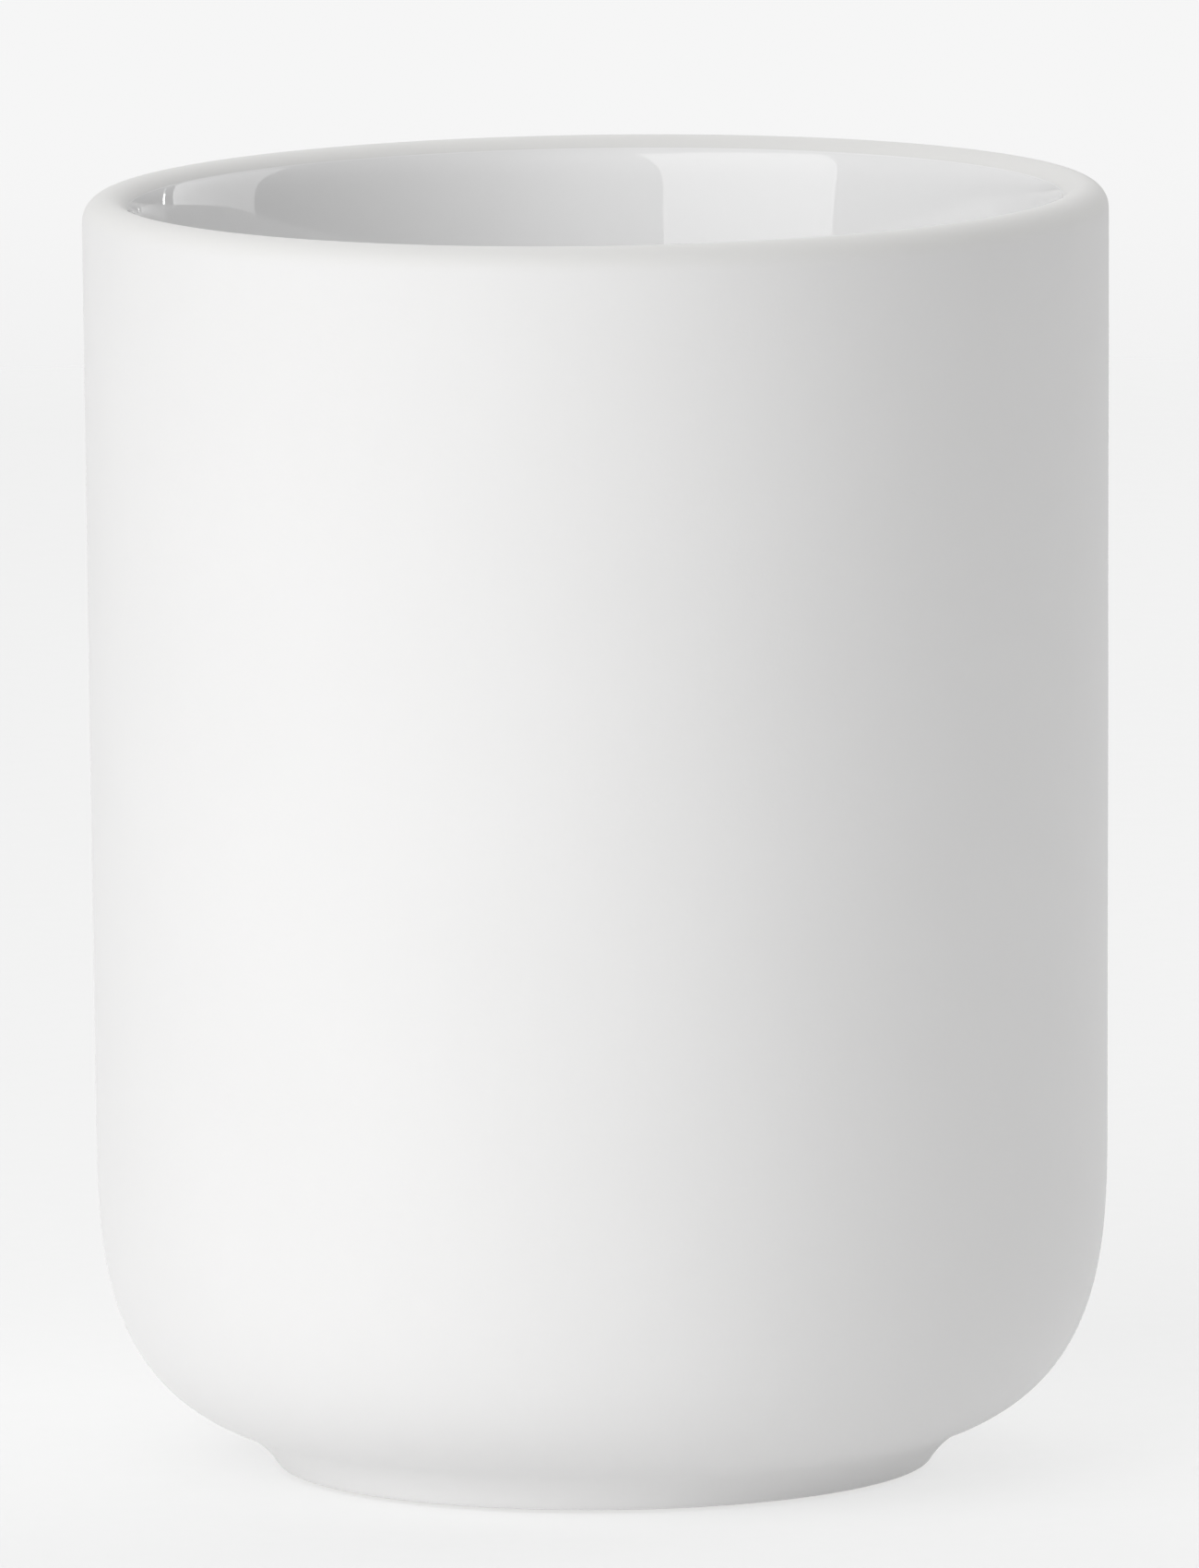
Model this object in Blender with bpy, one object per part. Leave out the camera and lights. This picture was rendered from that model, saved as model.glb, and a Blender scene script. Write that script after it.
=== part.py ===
"""Pen holder cup: a slip-cast stoneware cup, glazed inside, soft-touch coated outside.

Metres, +Z up. The origin is the centre of the face that the cup stands on, and +Z is the axis
of revolution. Every piece is turned about that axis from a half profile of (radius, height)
points, which is built from straight runs, arcs and one kind of tangent bend. Heights in a
profile are measured from the lower edge of the foot, which the pad holds clear of the table.
"""

import math

import bpy
from mathutils import Vector

# ---- driving dimensions (metres, degrees) -------------------------------------------------

HEIGHT = 0.1000            # lower edge of the foot to the top of the lip
RIM_R = 0.0400             # outer radius just under the lip
LIP_R = 0.0019             # radius of the round lip
WALL_LOW_R = 0.03957       # outer radius where the wall starts to turn in
WALL_LOW_Z = 0.0265        # height at which it does

FOOT_R = 0.02556           # outer radius of the foot's lower edge
FOOT_FLARE = 35.7          # slope of the foot's side, from the vertical
FOOT_H = 0.00243           # height of the foot's side, up to the underside
UNDERSIDE_RISE = 21.7      # slope of the underside, from the horizontal
FOOT_HOLLOW = 0.00231      # how far the hollow between foot and underside runs along each
EDGE_ROUND = 0.00012       # chamfer of the foot's lower edges, along each side
COAT_SHORT = 0.00015       # how far above the foot's lower edge the coating stops
WALL_REACH = 0.0088        # pull of the wall on the bend into the underside
UNDERSIDE_REACH = 0.0107   # pull of the underside on the same bend

LIP_FLARE = 29.3           # slope of the inner wall where it leaves the lip, from the vertical
LIP_PULL = 0.00092         # pull of the lip on the bend down to the throat
THROAT_R = 0.03563         # inner radius at the throat, where that bend ends
THROAT_Z = 0.0958          # height of the throat
THROAT_SLOPE = 8.75        # slope of the inner wall at the throat, from the vertical
THROAT_PULL = 0.00145      # pull of the throat on the same bend
TAPER_R = 0.1600           # radius of the inner wall's curve from the throat down to its straight
WELL_DRAFT = 0.3           # slope of that straight, from the vertical
WELL_LOW_Z = 0.0240        # height at which the inner wall starts to turn in
WELL_FLOOR_Z = 0.0070      # height of the inner floor
WELL_FLOOR_R = 0.0190      # radius of the flat part of the inner floor
WELL_REACH = 0.0090        # pull of both ends on the bend between floor and wall

RECESS_R = 0.0212          # inner radius of the foot ring, at its lower edge
RECESS_TOP_R = 0.0208      # and at the roof of the recess
RECESS_H = 0.0022          # depth of the recess

SKIN = 0.0003              # thickness of the coating and of the glaze
GAP = 0.0003               # clearance between neighbouring pieces
PAD_R = 0.0200             # radius of the pad in the recess
PAD_PROUD = 0.0003         # how far the pad stands below the foot ring
PAD_ROUND = 0.0004         # chamfer of the pad's two edges

SEGMENTS = 48              # facets around the axis

# ---- colours: linear RGB, roughness, metallic ---------------------------------------------

FINISHES = {
    "stoneware_body": ((0.66, 0.62, 0.55), 0.85, 0.0),
    "interior_glaze": ((0.78, 0.78, 0.77), 0.12, 0.0),
    "soft_touch_coating": ((0.78, 0.78, 0.76), 0.62, 0.0),
    "base_pad": ((0.42, 0.42, 0.41), 0.80, 0.0),
}


# ---- profile geometry ---------------------------------------------------------------------
# A run is a list of (point, outward normal). Runs are traced from the centre of the inner
# floor, up the well, over the lip, down the outside and in under the foot, so material is
# always on the right hand and the normal on the left.

def left_of(direction):
    return Vector((-direction.y, direction.x)).normalized()


def straight(start, end):
    normal = left_of(end - start)
    return [(start, normal), (end, normal)]


def arc(centre, radius, start, end, steps):
    """Arc from angle start to angle end, in radians; clockwise where end is less than start."""
    turn = 1.0 if end > start else -1.0
    run = []
    for step in range(steps + 1):
        angle = start + (end - start) * step / steps
        spoke = Vector((math.cos(angle), math.sin(angle)))
        run.append((centre + spoke * radius, left_of(Vector((-spoke.y, spoke.x)) * turn)))
    return run


def bend(start, start_pull, end, end_pull, steps):
    """Cubic curve that leaves start along start_pull and reaches end along end_pull."""
    second = start + start_pull
    third = end - end_pull
    run = []
    for step in range(steps + 1):
        t = step / steps
        s = 1.0 - t
        point = s**3 * start + 3 * s * s * t * second + 3 * s * t * t * third + t**3 * end
        slope = s * s * (second - start) + 2 * s * t * (third - second) + t * t * (end - third)
        run.append((point, left_of(slope)))
    return run


def inset(run, depth):
    return [point - normal * depth for point, normal in run]


def without_repeats(points):
    kept = [points[0]]
    for point in points[1:]:
        if (point - kept[-1]).length > 1e-6:
            kept.append(point)
    return kept


# ---- the cup's surface, piece by piece ----------------------------------------------------

LIP_CENTRE = Vector((RIM_R - LIP_R, HEIGHT - LIP_R))
LIP_TOP = 90.0                     # angles on the lip: 0 outside, 90 on top, 180 inside
LIP_INNER = 180.0 - LIP_FLARE      # where the inner wall meets it
COAT_END = LIP_INNER - math.degrees(GAP / LIP_R)


def lip(start, end, steps):
    """Part of the round lip, from angle start to angle end, in degrees."""
    return arc(LIP_CENTRE, LIP_R, math.radians(start), math.radians(end), steps)


def upward(slope):
    """Unit vector that runs up a side whose slope from the vertical is given in degrees."""
    return Vector((math.sin(math.radians(slope)), math.cos(math.radians(slope))))


def well():
    """Inner floor, the bend above it, the inner wall, the throat and the bend up to the lip."""
    throat = Vector((THROAT_R, THROAT_Z))
    top_turn = math.radians(180.0 - THROAT_SLOPE)
    low_turn = math.radians(180.0 - WELL_DRAFT)
    taper_centre = throat - Vector((math.cos(top_turn), math.sin(top_turn))) * TAPER_R
    taper = arc(taper_centre, TAPER_R, low_turn, top_turn, 5)

    up_wall = upward(WELL_DRAFT)
    wall_top = taper[0][0]
    wall_low = wall_top - up_wall * ((wall_top.y - WELL_LOW_Z) / up_wall.y)
    floor_edge = Vector((WELL_FLOOR_R, WELL_FLOOR_Z))
    floor = straight(Vector((0.0, WELL_FLOOR_Z)), floor_edge)
    corner = bend(floor_edge, Vector((WELL_REACH, 0.0)), wall_low, up_wall * WELL_REACH, 8)

    from_throat = upward(THROAT_SLOPE) * THROAT_PULL
    to_lip = upward(LIP_FLARE) * LIP_PULL
    mouth = bend(throat, from_throat, lip(LIP_INNER, LIP_TOP, 1)[0][0], to_lip, 6)
    return floor + corner + straight(wall_low, wall_top) + taper + mouth


def foot_lines():
    """The foot's edge, its underside corner, and the directions of its side and underside."""
    edge = Vector((FOOT_R, 0.0))
    up_side = upward(FOOT_FLARE)
    corner = edge + up_side * (FOOT_H / up_side.y)
    outward = upward(90.0 - UNDERSIDE_RISE)
    return edge, corner, up_side, outward


def outside():
    """Outer wall, the bend under it, the underside and the hollow above the foot."""
    _, corner, up_side, outward = foot_lines()
    wall_top = LIP_CENTRE + Vector((LIP_R, 0.0))
    wall_low = Vector((WALL_LOW_R, WALL_LOW_Z))
    down_wall = (wall_low - wall_top).normalized()
    neck = corner + outward * FOOT_HOLLOW
    turn_in = bend(wall_low, down_wall * WALL_REACH, neck, -outward * UNDERSIDE_REACH, 10)

    turned = outward.angle(up_side)
    radius = FOOT_HOLLOW / math.tan(turned / 2)
    centre = neck - left_of(outward) * radius
    start = math.radians(90.0 + UNDERSIDE_RISE)
    hollow = arc(centre, radius, start, start + turned, 5)
    return straight(wall_top, wall_low) + turn_in + hollow


def foot_side():
    """Side of the foot, from the hollow down to where the coating stops."""
    edge, corner, up_side, _ = foot_lines()
    return straight(corner - up_side * FOOT_HOLLOW, edge + up_side * COAT_SHORT)


def standing_ring():
    """Bare lower end of the casting: its standing face and the recess inside it."""
    edge, _, up_side, _ = foot_lines()
    under_coat = edge + left_of(up_side) * (SKIN + GAP)
    outer = under_coat - up_side * (under_coat.y / up_side.y)
    inner = Vector((RECESS_R, 0.0))
    recess_top = Vector((RECESS_TOP_R, RECESS_H))
    into_recess = (recess_top - inner).normalized()
    return [
        outer + up_side * EDGE_ROUND,
        outer - Vector((EDGE_ROUND, 0.0)),
        inner + Vector((EDGE_ROUND, 0.0)),
        inner + into_recess * EDGE_ROUND,
        recess_top,
        Vector((0.0, recess_top.y)),
    ]


# ---- outlines of the pieces ---------------------------------------------------------------

def body_outline():
    covered = well() + lip(LIP_INNER, LIP_TOP, 5) + lip(LIP_TOP, 0.0, 5) + outside()
    return inset(covered, SKIN + GAP) + standing_ring()


def glaze_outline():
    glazed = well()
    return inset(glazed, 0.0) + inset(glazed, SKIN)[::-1]


def coat_outline():
    coated = lip(COAT_END, LIP_TOP, 4) + lip(LIP_TOP, 0.0, 5) + outside() + foot_side()
    return inset(coated, 0.0) + inset(coated, SKIN)[::-1]


def pad_outline():
    top = RECESS_H - GAP
    bottom = -PAD_PROUD
    return [
        Vector((0.0, top)),
        Vector((PAD_R - PAD_ROUND, top)),
        Vector((PAD_R, top - PAD_ROUND)),
        Vector((PAD_R, bottom + PAD_ROUND)),
        Vector((PAD_R - PAD_ROUND, bottom)),
        Vector((0.0, bottom)),
    ]


# ---- objects ------------------------------------------------------------------------------

def finish(name):
    colour, roughness, metallic = FINISHES[name]
    material = bpy.data.materials.new(name)
    material.use_nodes = True
    shader = material.node_tree.nodes["Principled BSDF"]
    shader.inputs["Base Color"].default_value = (*colour, 1.0)
    shader.inputs["Roughness"].default_value = roughness
    shader.inputs["Metallic"].default_value = metallic
    return material


def turn_on_axis(name, outline, closed):
    """Turn an outline about +Z. An outline that isn't closed starts and ends on the axis."""
    points = without_repeats(outline)
    edges = [(i, i + 1) for i in range(len(points) - 1)]
    if closed:
        edges.append((len(points) - 1, 0))
    mesh = bpy.data.meshes.new(name)
    mesh.from_pydata([(point.x, 0.0, point.y) for point in points], edges, [])
    mesh.materials.append(finish(name))
    piece = bpy.data.objects.new(name, mesh)
    piece.location.z = PAD_PROUD
    bpy.context.scene.collection.objects.link(piece)

    screw = piece.modifiers.new("Turn", "SCREW")
    screw.axis = "Z"
    screw.angle = math.tau
    screw.steps = SEGMENTS
    screw.render_steps = SEGMENTS
    screw.use_merge_vertices = True
    screw.merge_threshold = 0.00001
    screw.use_smooth_shade = True
    return piece


def clear_scene():
    for item in list(bpy.data.objects):
        bpy.data.objects.remove(item, do_unlink=True)


clear_scene()
turn_on_axis("stoneware_body", body_outline(), closed=False)
turn_on_axis("interior_glaze", glaze_outline(), closed=False)
turn_on_axis("soft_touch_coating", coat_outline(), closed=True)
turn_on_axis("base_pad", pad_outline(), closed=False)
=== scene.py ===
"""Looks of the pen holder cup: a stoneware cup, glossy inside and matt outside, on a pale floor.

Each piece is turned again at a fine resolution from the same half profile as the CAD, with its
real edges, and gets a procedural material. Metres, +Z up, in the CAD's own frame.
"""

import math

import bpy
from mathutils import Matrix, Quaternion, Vector, noise


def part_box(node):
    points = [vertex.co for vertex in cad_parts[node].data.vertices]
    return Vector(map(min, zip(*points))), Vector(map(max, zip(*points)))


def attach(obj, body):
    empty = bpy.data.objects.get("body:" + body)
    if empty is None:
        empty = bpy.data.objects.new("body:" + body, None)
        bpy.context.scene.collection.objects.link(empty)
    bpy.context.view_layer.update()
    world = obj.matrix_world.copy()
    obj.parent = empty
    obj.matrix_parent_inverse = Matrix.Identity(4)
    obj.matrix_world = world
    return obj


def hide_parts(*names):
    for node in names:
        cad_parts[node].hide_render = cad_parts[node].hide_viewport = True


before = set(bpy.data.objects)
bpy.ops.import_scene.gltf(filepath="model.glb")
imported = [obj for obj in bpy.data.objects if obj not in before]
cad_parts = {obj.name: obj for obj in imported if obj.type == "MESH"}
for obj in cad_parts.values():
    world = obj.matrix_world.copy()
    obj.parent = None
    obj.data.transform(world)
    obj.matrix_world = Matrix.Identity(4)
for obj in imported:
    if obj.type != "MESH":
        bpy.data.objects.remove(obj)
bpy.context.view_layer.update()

MM = 0.001


# ---- sizes: measured on the frame where it gives them ---------------------------------------
# Heights in a half profile are measured from the foot's lower edge, which is FOOT_Z above the
# table because the pad stands proud of it.

FOOT_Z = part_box("stoneware_body")[0].z
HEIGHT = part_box("soft_touch_coating")[1].z - FOOT_Z
RIM_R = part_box("soft_touch_coating")[1].x
PAD_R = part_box("base_pad")[1].x
PAD_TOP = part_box("base_pad")[1].z - FOOT_Z
PAD_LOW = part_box("base_pad")[0].z - FOOT_Z

SKIN = 0.3 * MM                   # coating and glaze
HAIRLINE = 0.01 * MM              # clearance between neighbouring pieces
LIP_R = 1.9 * MM
LIP_FLARE = 29.3                  # slope of the inner wall at the lip, degrees from vertical
LIP_PULL = 0.92 * MM
SEAM = 147.0                      # where coat meets glaze on the lip: 90 is its top, 180 inside
SEAM_TURN = math.degrees(0.002 * MM / LIP_R)      # half the joint between coat and glaze
THROAT = Vector((35.63 * MM, 95.8 * MM))
THROAT_SLOPE = 8.75
THROAT_PULL = 1.45 * MM
TAPER_R = 160.0 * MM
WELL_DRAFT = 0.3
WELL_LOW_Z = 24.0 * MM
WELL_FLOOR = Vector((19.0 * MM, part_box("interior_glaze")[0].z - FOOT_Z + SKIN))
WELL_REACH = 9.0 * MM
WALL_LOW = Vector((RIM_R - 0.43 * MM, 26.5 * MM))
WALL_REACH = 8.8 * MM
UNDERSIDE_REACH = 10.7 * MM
UNDERSIDE_RISE = 21.7
FOOT_R = 25.56 * MM
FOOT_FLARE = 35.7
FOOT_H = 2.43 * MM
FOOT_HOLLOW = 2.31 * MM
FOOT_ROUND = 0.15 * MM            # round of the foot's lower edge
COAT_TUCK = 0.45 * MM             # how far the coating runs in under the foot
RECESS_R = 21.2 * MM
RECESS_TOP = Vector((20.8 * MM, PAD_TOP + 0.3 * MM))
RECESS_ROUND = 0.25 * MM          # round of the recess's two edges

LIP_CENTRE = Vector((RIM_R - LIP_R, HEIGHT - LIP_R))
LIP_INNER = 180.0 - LIP_FLARE

AROUND = 288                      # facets around the axis
NEAR = 0.001 * MM                 # points closer than this are one point
SHARP = math.radians(40.0)        # edges that turn by more than this are kept crisp


# ---- half profiles ---------------------------------------------------------------------------
# A run is a list of (point, outward normal), traced floor, well, lip, outside, foot.

def left_of(direction):
    return Vector((-direction.y, direction.x)).normalized()


def straight(start, end, steps):
    normal = left_of(end - start)
    return [(start.lerp(end, step / steps), normal) for step in range(steps + 1)]


def arc(centre, radius, start, end, steps):
    """Arc between two angles in degrees, either way round."""
    turn = 1.0 if end > start else -1.0
    run = []
    for step in range(steps + 1):
        angle = math.radians(start + (end - start) * step / steps)
        spoke = Vector((math.cos(angle), math.sin(angle)))
        run.append((centre + spoke * radius, left_of(Vector((-spoke.y, spoke.x)) * turn)))
    return run


def bend(start, start_pull, end, end_pull, steps):
    """Cubic curve that leaves start along start_pull and reaches end along end_pull."""
    second = start + start_pull
    third = end - end_pull
    run = []
    for step in range(steps + 1):
        t = step / steps
        s = 1.0 - t
        point = s**3 * start + 3 * s * s * t * second + 3 * s * t * t * third + t**3 * end
        slope = s * s * (second - start) + 2 * s * t * (third - second) + t * t * (end - third)
        run.append((point, left_of(slope)))
    return run


def inset(run, depth):
    """The run's points, moved into the material by depth."""
    return [point - normal * depth for point, normal in run]


def faces_of(run):
    """The run's points, on the surface itself."""
    return inset(run, 0.0)


def upward(degrees):
    """Unit vector up a side, from its slope from the vertical."""
    return Vector((math.sin(math.radians(degrees)), math.cos(math.radians(degrees))))


def lip(start, end, steps):
    """Part of the round lip: 0 is its outside, 90 its top, 180 its inside."""
    return arc(LIP_CENTRE, LIP_R, start, end, steps)


def well():
    """Inner floor, the bend above it, the inner wall, the throat and the bend up to the lip."""
    turn = math.radians(180.0 - THROAT_SLOPE)
    taper_centre = THROAT - Vector((math.cos(turn), math.sin(turn))) * TAPER_R
    taper = arc(taper_centre, TAPER_R, 180.0 - WELL_DRAFT, 180.0 - THROAT_SLOPE, 24)
    up_wall = upward(WELL_DRAFT)
    wall_top = taper[0][0]
    wall_low = wall_top - up_wall * ((wall_top.y - WELL_LOW_Z) / up_wall.y)
    floor = straight(Vector((0.0, WELL_FLOOR.y)), WELL_FLOOR, 8)
    corner = bend(WELL_FLOOR, Vector((WELL_REACH, 0.0)), wall_low, up_wall * WELL_REACH, 28)
    mouth = bend(THROAT, upward(THROAT_SLOPE) * THROAT_PULL, lip(LIP_INNER, 90.0, 1)[0][0],
                 upward(LIP_FLARE) * LIP_PULL, 18)
    return floor + corner + straight(wall_low, wall_top, 24) + taper + mouth


def foot_lines():
    """The foot's edge, its underside corner, and the directions of its side and underside."""
    edge = Vector((FOOT_R, 0.0))
    up_side = upward(FOOT_FLARE)
    corner = edge + up_side * (FOOT_H / up_side.y)
    return edge, corner, up_side, upward(90.0 - UNDERSIDE_RISE)


def outside():
    """Outer wall, the bend under it, the underside and the hollow above the foot."""
    _, corner, up_side, outward = foot_lines()
    wall_top = LIP_CENTRE + Vector((LIP_R, 0.0))
    down_wall = (WALL_LOW - wall_top).normalized()
    neck = corner + outward * FOOT_HOLLOW
    turn_in = bend(WALL_LOW, down_wall * WALL_REACH, neck, -outward * UNDERSIDE_REACH, 40)
    turned = outward.angle(up_side)
    radius = FOOT_HOLLOW / math.tan(turned / 2)
    centre = neck - left_of(outward) * radius
    start = 90.0 + UNDERSIDE_RISE
    hollow = arc(centre, radius, start, start + math.degrees(turned), 14)
    return straight(wall_top, WALL_LOW, 32) + turn_in + hollow


def round_off(before, corner, after, reach):
    """Rounds a corner between the directions that lead to it and away from it."""
    into = (corner - before).normalized() * reach
    away = (after - corner).normalized() * reach
    return faces_of(bend(corner - into, into * 0.6, corner + away, away * 0.6, 5))


# ---- meshes -----------------------------------------------------------------------------------

RIM_OUT_OF_TRUE = math.radians(0.41)    # the fired rim isn't quite level
CAST_WAVE = 0.04 * MM                   # how far the cast wall wanders from a true surface
CAST_WAVE_SIZE = 22.0 * MM


def settle(point):
    """Moves a point of the true turned shape to where drying and firing left it."""
    share = max(0.0, min(1.0, point.z / HEIGHT))
    eased = share * share * (3.0 - 2.0 * share)
    wander = noise.noise(point / CAST_WAVE_SIZE) * CAST_WAVE * eased
    radial = Vector((point.x, point.y, 0.0))
    radius = radial.length
    moved = point + radial * (wander / radius if radius > NEAR else 0.0)
    moved.z += point.x * math.tan(RIM_OUT_OF_TRUE) * eased + FOOT_Z
    return moved


def without_repeats(points):
    kept = [points[0]]
    for point in points[1:]:
        if (point - kept[-1]).length > NEAR:
            kept.append(point)
    return kept


def turned_piece(name, outline, closed, material, node):
    """A solid of revolution. An outline that isn't closed starts and ends on the axis."""
    vertices = []
    rings = []
    for point in without_repeats(outline):
        if point.x < NEAR:
            rings.append([len(vertices)] * AROUND)
            vertices.append(settle(Vector((0.0, 0.0, point.y))))
            continue
        rings.append(list(range(len(vertices), len(vertices) + AROUND)))
        for turn in range(AROUND):
            angle = math.tau * turn / AROUND
            spot = Vector((point.x * math.cos(angle), point.x * math.sin(angle), point.y))
            vertices.append(settle(spot))
    pairs = list(zip(rings, rings[1:]))
    if closed:
        pairs.append((rings[-1], rings[0]))
    faces = []
    for upper, lower in pairs:
        for turn in range(AROUND):
            after = (turn + 1) % AROUND
            corners = [upper[turn], lower[turn], lower[after], upper[after]]
            faces.append(list(dict.fromkeys(corners)))
    mesh = bpy.data.meshes.new(name)
    mesh.from_pydata(vertices, [], faces)
    mesh.validate()
    mesh.shade_smooth()
    mesh.set_sharp_from_angle(angle=SHARP)
    mesh.materials.append(material)
    piece = bpy.data.objects.new(name, mesh)
    bpy.context.scene.collection.objects.link(piece)
    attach(piece, "root")
    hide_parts(node)


# ---- node helpers -----------------------------------------------------------------------------

class Nodes:
    """Short calls for building a node tree."""

    def __init__(self, tree):
        self.tree = tree
        self.tree.nodes.clear()

    def add(self, kind, inputs=None, **settings):
        node = self.tree.nodes.new(kind)
        for key, value in settings.items():
            setattr(node, key, value)
        for key, value in (inputs or {}).items():
            self.put(value, node.inputs[key])
        return node

    def put(self, value, socket):
        if isinstance(value, bpy.types.NodeSocket):
            self.tree.links.new(value, socket)
        else:
            socket.default_value = value

    def position(self):
        return self.add("ShaderNodeTexCoord").outputs["Object"]

    def noise(self, size, detail, roughness=0.5):
        """Noise of 0 to 1 whose features are about size metres across."""
        return self.add("ShaderNodeTexNoise", {
            "Vector": self.position(), "Scale": 1.0 / size, "Detail": detail,
            "Roughness": roughness}).outputs["Fac"]

    def remap(self, value, low, high, to_low, to_high, smooth=False):
        """Value brought from low..high to to_low..to_high, and held at the ends."""
        return self.add("ShaderNodeMapRange", {
            "Value": value, "From Min": low, "From Max": high, "To Min": to_low,
            "To Max": to_high}, interpolation_type="SMOOTHSTEP" if smooth else "LINEAR").outputs[0]

    def mix(self, factor, first, second):
        node = self.add("ShaderNodeMix", data_type="RGBA")
        self.put(factor, node.inputs[0])
        self.put(first, node.inputs[6])
        self.put(second, node.inputs[7])
        return node.outputs[2]

    def math(self, operation, first, second):
        node = self.add("ShaderNodeMath", operation=operation)
        self.put(first, node.inputs[0])
        self.put(second, node.inputs[1])
        return node.outputs[0]

    def bump(self, height, distance):
        """Bump whose full 0 to 1 swing is distance metres high."""
        inputs = {"Height": height, "Distance": distance, "Strength": 1.0}
        return self.add("ShaderNodeBump", inputs).outputs[0]

    def surface(self, shader):
        self.add("ShaderNodeOutputMaterial", {"Surface": shader})


def grey(level):
    return level, level, level, 1.0


def new_material(name):
    material = bpy.data.materials.new(name)
    material.use_nodes = True
    return material, Nodes(material.node_tree)


# ---- materials --------------------------------------------------------------------------------

def soft_touch():
    """Matt off-white lacquer: faint spray texture, a little creamier over the lip."""
    material, n = new_material("soft_touch")
    height = n.add("ShaderNodeSeparateXYZ", {"Vector": n.position()}).outputs["Z"]
    lip_top = FOOT_Z + HEIGHT
    near_lip = n.remap(height, lip_top - 2.2 * MM, lip_top - 0.6 * MM, 0.0, 1.0, smooth=True)
    cloud = n.noise(14 * MM, detail=3.0)
    body = n.mix(cloud, (0.792, 0.789, 0.786, 1.0), (0.812, 0.809, 0.807, 1.0))
    colour = n.mix(near_lip, body, (0.802, 0.798, 0.786, 1.0))
    rough = n.remap(n.noise(5 * MM, detail=3.0), 0.3, 0.7, 0.58, 0.68)
    spray = n.bump(n.noise(0.35 * MM, detail=3.0, roughness=0.6), 0.010 * MM)
    shader = n.add("ShaderNodeBsdfPrincipled", {
        "Base Color": colour, "Diffuse Roughness": 0.15, "Roughness": rough, "Normal": spray,
        "IOR": 1.45, "Specular IOR Level": 0.3, "Sheen Weight": 0.2, "Sheen Roughness": 0.5})
    n.surface(shader.outputs[0])
    return material


def glaze():
    """White glaze: glossy, with the slow waviness of a fired surface, and duller where it thins
    out under the coat on the lip."""
    material, n = new_material("glaze")
    place = n.add("ShaderNodeSeparateXYZ", {"Vector": n.position()}).outputs
    flat = n.add("ShaderNodeCombineXYZ", {"X": place["X"], "Y": place["Y"]}).outputs[0]
    radius = n.add("ShaderNodeVectorMath", {0: flat}, operation="LENGTH").outputs["Value"]
    edge_r = LIP_CENTRE.x + LIP_R * math.cos(math.radians(SEAM))
    thin = n.remap(radius, edge_r - 0.12 * MM, edge_r, 0.0, 0.4, smooth=True)
    cloud = n.noise(18 * MM, detail=2.0)
    colour = n.mix(cloud, grey(0.862), grey(0.880))
    rough = n.math("ADD", thin, n.remap(n.noise(6 * MM, detail=3.0), 0.3, 0.7, 0.008, 0.020))
    flow = n.bump(n.noise(9 * MM, detail=1.0), 0.03 * MM)
    shader = n.add("ShaderNodeBsdfPrincipled", {
        "Base Color": colour, "Roughness": rough, "Normal": flow, "IOR": 1.48})
    n.surface(shader.outputs[0])
    return material


def biscuit():
    """Bare fired stoneware: fine sanded grain with a few darker specks."""
    material, n = new_material("stoneware")
    grain = n.noise(0.30 * MM, detail=4.0, roughness=0.7)
    specks = n.remap(n.noise(0.8 * MM, detail=2.0), 0.66, 0.72, 0.0, 1.0)
    base = n.mix(grain, (0.70, 0.675, 0.625, 1.0), (0.78, 0.76, 0.715, 1.0))
    colour = n.mix(specks, base, (0.52, 0.47, 0.40, 1.0))
    rough = n.remap(grain, 0.3, 0.7, 0.78, 0.92)
    sanded = n.bump(grain, 0.03 * MM)
    shader = n.add("ShaderNodeBsdfPrincipled", {
        "Base Color": colour, "Roughness": rough, "Normal": sanded, "Specular IOR Level": 0.25})
    n.surface(shader.outputs[0])
    return material


def pad_rubber():
    """Grey non-slip pad: cellular skin with a faint bloom."""
    material, n = new_material("pad_rubber")
    cells = n.add("ShaderNodeTexVoronoi", {"Vector": n.position(), "Scale": 1.0 / (0.5 * MM)},
                  feature="SMOOTH_F1").outputs["Distance"]
    bloom = n.noise(7 * MM, detail=4.0)
    colour = n.mix(bloom, (0.36, 0.36, 0.355, 1.0), (0.44, 0.44, 0.435, 1.0))
    rough = n.remap(bloom, 0.3, 0.7, 0.70, 0.88)
    shader = n.add("ShaderNodeBsdfPrincipled", {
        "Base Color": colour, "Roughness": rough, "Normal": n.bump(cells, 0.05 * MM)})
    n.surface(shader.outputs[0])
    return material


# ---- pieces -----------------------------------------------------------------------------------

def make_coating():
    """Coat over the lip and the outside, round the foot's edge and a little way in under it."""
    edge, _, up_side, _ = foot_lines()
    covered = lip(SEAM - SEAM_TURN, 90.0, 14) + lip(90.0, 0.0, 18) + outside()
    tuck_end = edge - Vector((COAT_TUCK, 0.0))
    turned_under = round_off(edge + up_side, edge, tuck_end, FOOT_ROUND)
    inner_edge = edge + left_of(up_side) * SKIN
    inner_edge += up_side * ((SKIN - inner_edge.y) / up_side.y)
    inner_end = Vector((tuck_end.x, SKIN))
    outline = faces_of(covered) + turned_under + [tuck_end, inner_end, inner_edge]
    outline += inset(covered, SKIN)[::-1]
    turned_piece("coat_soft_touch", outline, True, soft_touch(), "soft_touch_coating")


def make_glaze():
    """Glaze over the inner floor and wall, up to the joint with the coat on the lip."""
    glazed = well() + lip(LIP_INNER, SEAM + SEAM_TURN, 3)
    outline = faces_of(glazed) + inset(glazed, SKIN)[::-1]
    turned_piece("glaze_well", outline, False, glaze(), "interior_glaze")


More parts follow.
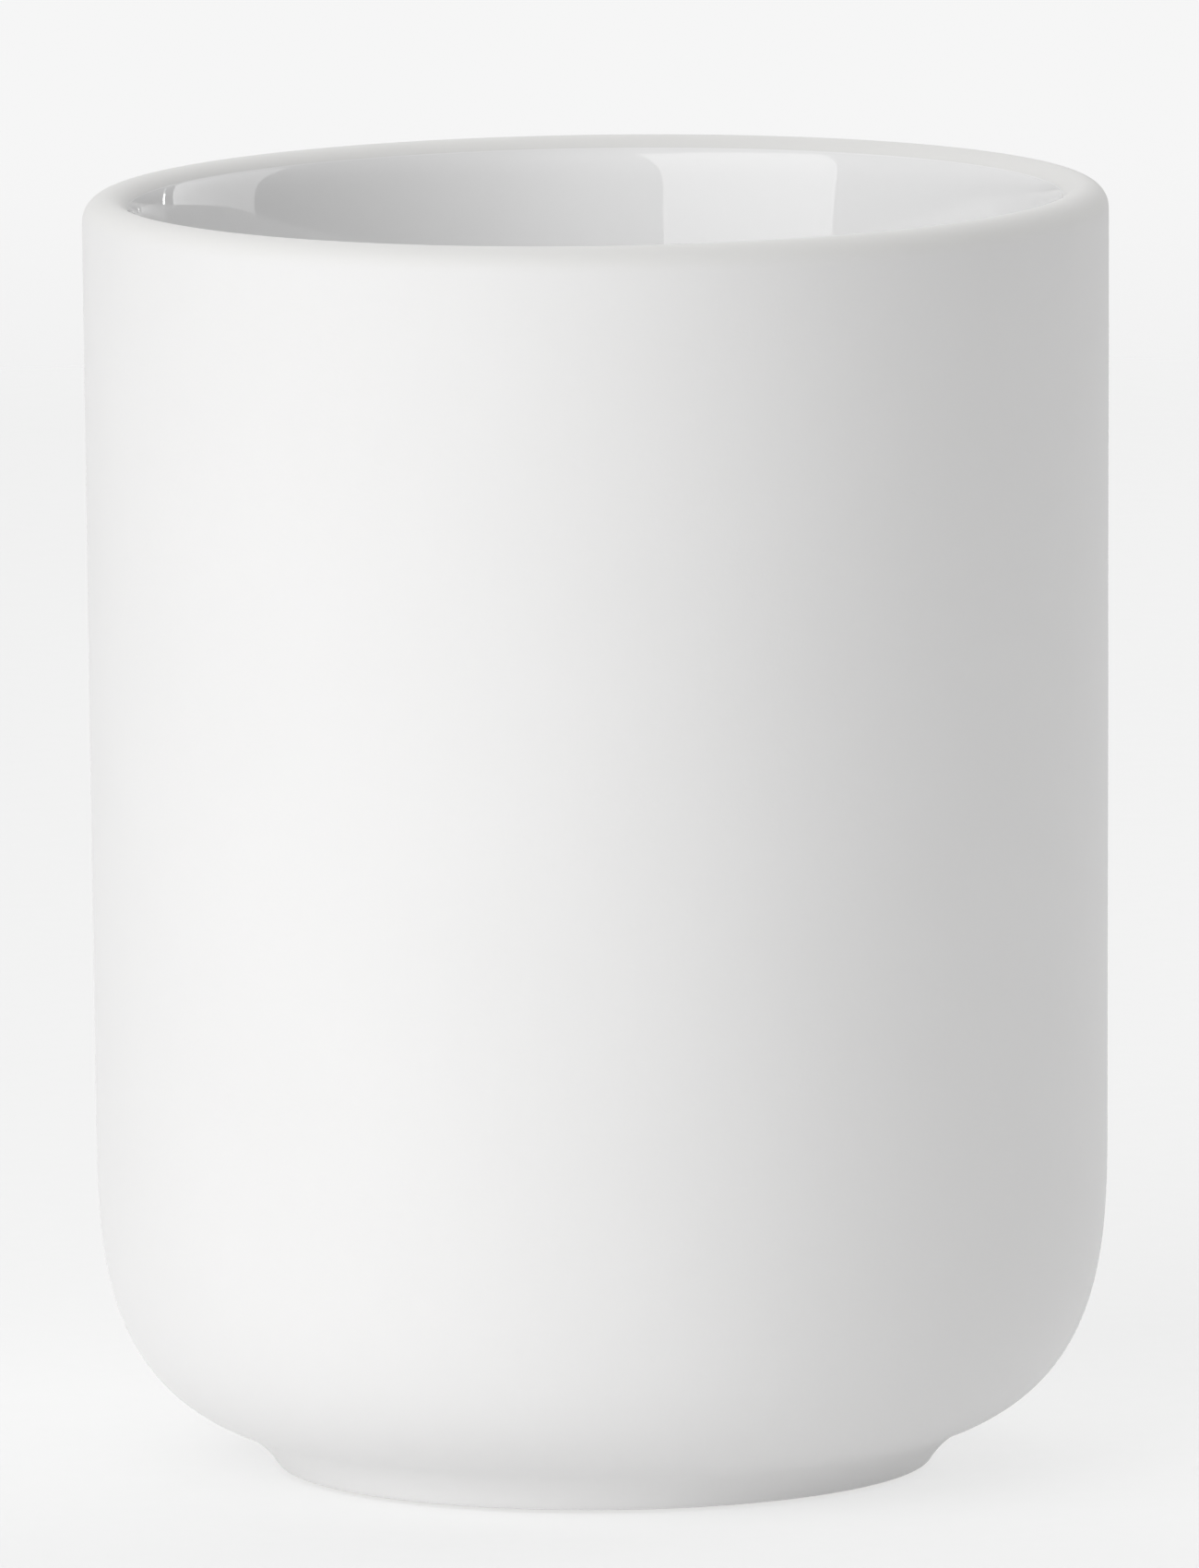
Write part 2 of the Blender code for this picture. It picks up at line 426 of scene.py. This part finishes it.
def make_body():
    """The casting: hidden under glaze and coat but for the standing ring and the recess."""
    edge, _, up_side, _ = foot_lines()
    under = SKIN + HAIRLINE
    covered = well() + lip(LIP_INNER, 0.0, 30) + outside()
    shoulder = edge + left_of(up_side) * under
    shoulder += up_side * ((under - shoulder.y) / up_side.y)
    ring_x = edge.x - COAT_TUCK - HAIRLINE
    ring = Vector((ring_x, 0.0))
    recess_edge = Vector((RECESS_R, 0.0))
    centre = Vector((0.0, RECESS_TOP.y))
    outline = inset(covered, under) + [shoulder, Vector((ring_x, under)), ring]
    outline += round_off(ring, recess_edge, RECESS_TOP, RECESS_ROUND)
    outline += round_off(recess_edge, RECESS_TOP, centre, RECESS_ROUND) + [centre]
    turned_piece("stoneware_casting", outline, False, biscuit(), "stoneware_body")


def make_pad():
    """Disc with rounded edges and shallow ring ribs on its underside."""
    round_r = 0.35 * MM
    ribs = 5
    steps_per_rib = 12
    rib_depth = 0.12 * MM
    top_edge = Vector((PAD_R, PAD_TOP))
    low_edge = Vector((PAD_R, PAD_LOW))
    rib_start = PAD_R - 1.0 * MM
    outline = [Vector((0.0, PAD_TOP))]
    outline += round_off(outline[0], top_edge, low_edge, round_r)
    outline += round_off(top_edge, low_edge, Vector((0.0, PAD_LOW)), round_r)
    steps = ribs * steps_per_rib
    for step in range(steps + 1):
        wave = 0.5 - 0.5 * math.cos(math.tau * step * ribs / steps)
        outline.append(Vector((rib_start * (1.0 - step / steps), PAD_LOW + rib_depth * wave ** 4)))
    turned_piece("pad_disc", outline, False, pad_rubber(), "base_pad")


make_coating()
make_glaze()
make_body()
make_pad()


# ---- floor ------------------------------------------------------------------------------------

BACKDROP = grey(0.921)
FLOOR_SIZE = 6.0
FLOOR_FADE = (0.30, 0.95)         # distances over which the floor thins out into the backdrop
FLOOR_GLOW = 0.20                 # painted glow: light the floor gives off itself, standing in for a table lit from below
FLOOR_SHARE = 0.4                 # how much of the floor's own shading the camera sees


def floor_material():
    """Pale table, polished for every ray but the camera's. It thins out into the backdrop, in
    part near the cup and fully far away."""
    material, n = new_material("floor_pale")
    place = n.position()
    distance = n.add("ShaderNodeVectorMath", {0: place}, operation="LENGTH").outputs["Value"]
    far = n.remap(distance, *FLOOR_FADE, 0.0, 1.0, smooth=True)
    seen = n.add("ShaderNodeLightPath").outputs["Is Camera Ray"]
    fade = n.math("MAXIMUM", far, n.math("MULTIPLY", seen, 1.0 - FLOOR_SHARE))
    grain = n.noise(3 * MM, detail=3.0)
    tone = n.mix(grain, grey(0.79), grey(0.81))
    facing = n.bump(grain, 0.01 * MM)
    matt = n.add("ShaderNodeBsdfDiffuse", {"Color": tone, "Normal": facing}).outputs[0]
    gloss = n.add("ShaderNodeBsdfGlossy", {"Roughness": 0.2, "Normal": facing}).outputs[0]
    mirrored = n.add("ShaderNodeFresnel", {"IOR": 1.5}).outputs[0]
    polish = n.math("MULTIPLY", mirrored, n.math("SUBTRACT", 1.0, seen))
    table = n.add("ShaderNodeMixShader", {0: polish, 1: matt, 2: gloss}).outputs[0]
    # Painted glow: the floor gives off light of its own; no lamp stands under it.
    glow = n.add("ShaderNodeEmission", {"Color": grey(1.0), "Strength": FLOOR_GLOW}).outputs[0]
    lit = n.add("ShaderNodeAddShader", {0: table, 1: glow}).outputs[0]
    clear = n.add("ShaderNodeBsdfTransparent").outputs[0]
    n.surface(n.add("ShaderNodeMixShader", {0: fade, 1: lit, 2: clear}).outputs[0])
    return material


def make_floor():
    mesh = bpy.data.meshes.new("floor")
    half = FLOOR_SIZE / 2
    mesh.from_pydata([(-half, -half, 0), (half, -half, 0), (half, half, 0), (-half, half, 0)],
                     [], [(0, 1, 2, 3)])
    mesh.materials.append(floor_material())
    floor = bpy.data.objects.new("floor", mesh)
    bpy.context.scene.collection.objects.link(floor)


make_floor()


# ---- light ------------------------------------------------------------------------------------

MIDDLE = Vector((0.0, 0.0, FOOT_Z + HEIGHT / 2))


def direction(azimuth, elevation):
    """Azimuth 0 is the camera's side, 90 the object's right."""
    a, e = math.radians(azimuth), math.radians(elevation)
    return Vector((math.sin(a) * math.cos(e), -math.cos(a) * math.cos(e), math.sin(e)))


PANEL_DISTANCE = 1.2


def panel(name, azimuth, elevation, width, height, power):
    """Rectangular light that faces the middle of the cup."""
    light = bpy.data.lights.new(name, "AREA")
    light.shape = "RECTANGLE"
    light.size = width
    light.size_y = height
    light.energy = power
    lamp = bpy.data.objects.new(name, light)
    bpy.context.scene.collection.objects.link(lamp)
    back = direction(azimuth, elevation)
    lamp.location = MIDDLE + back * PANEL_DISTANCE
    lamp.rotation_mode = "QUATERNION"
    lamp.rotation_quaternion = back.to_track_quat("Z", "Y")
    lamp.visible_camera = False


# Broad pools of light on the studio's walls and ceiling: azimuth, elevation, how narrow the
# pool is, strength.
POOLS = [
    (180.0, 50.0, 4.0, 1.55),     # high at the back
    (0.0, 28.0, 8.0, 1.22),       # front
    (-45.0, 28.0, 8.0, 0.78),     # front left
    (-90.0, 8.0, 8.0, 0.15),      # left
    (-135.0, 8.0, 8.0, 0.30),     # back left
    (135.0, 8.0, 8.0, 0.10),      # back right
]


def make_world():
    """Pools of light for every ray but the camera's, which sees the plain backdrop."""
    world = bpy.data.worlds.new("studio")
    world.use_nodes = True
    bpy.context.scene.world = world
    n = Nodes(world.node_tree)
    gaze = n.add("ShaderNodeTexCoord").outputs["Generated"]
    level = 0.0
    for azimuth, elevation, narrow, strength in POOLS:
        towards = n.add("ShaderNodeVectorMath", {
            0: gaze, 1: direction(azimuth, elevation)}, operation="DOT_PRODUCT").outputs["Value"]
        pool = n.math("POWER", n.math("MAXIMUM", towards, 0.0), narrow)
        level = n.math("ADD", level, n.math("MULTIPLY", pool, strength))
    studio = n.add("ShaderNodeBackground", {"Color": grey(1.0), "Strength": level})
    backdrop = n.add("ShaderNodeBackground", {"Color": BACKDROP, "Strength": 1.0})
    seen = n.add("ShaderNodeLightPath").outputs["Is Camera Ray"]
    shown = n.add("ShaderNodeMixShader", {
        0: seen, 1: studio.outputs[0], 2: backdrop.outputs[0]}).outputs[0]
    n.add("ShaderNodeOutputWorld", {"Surface": shown})


make_world()
panel("key_softbox", azimuth=-41.4, elevation=20.0, width=1.036, height=1.12, power=8.0)
panel("side_panel", azimuth=116.0, elevation=15.0, width=0.794, height=1.02, power=4.6)
panel("strip", azimuth=139.9, elevation=8.5, width=0.024, height=0.19, power=0.09)
panel("strip_end", azimuth=140.5, elevation=17.0, width=0.012, height=0.16, power=0.01)


# ---- camera -----------------------------------------------------------------------------------

CAMERA_ELEVATION = 7.95
CAMERA_DISTANCE = 2.0
CAMERA_ROLL = math.radians(0.42)
CAMERA_LENS = 587.5
AIM_ABOVE_MIDDLE = 3.25 * MM


def make_camera():
    camera = bpy.data.objects.new("camera", bpy.data.cameras.new("camera"))
    bpy.context.scene.collection.objects.link(camera)
    camera.data.lens = CAMERA_LENS
    camera.data.sensor_width = 36.0
    camera.data.clip_start = 0.1
    camera.data.clip_end = 20.0
    camera.location = MIDDLE + direction(0.0, CAMERA_ELEVATION) * CAMERA_DISTANCE
    gaze = MIDDLE + Vector((0.0, 0.0, AIM_ABOVE_MIDDLE)) - camera.location
    camera.rotation_mode = "QUATERNION"
    level = gaze.to_track_quat("-Z", "Y")
    camera.rotation_quaternion = level @ Quaternion((0.0, 0.0, 1.0), -CAMERA_ROLL)
    bpy.context.scene.camera = camera


make_camera()
bpy.context.scene.view_settings.view_transform = "Standard"
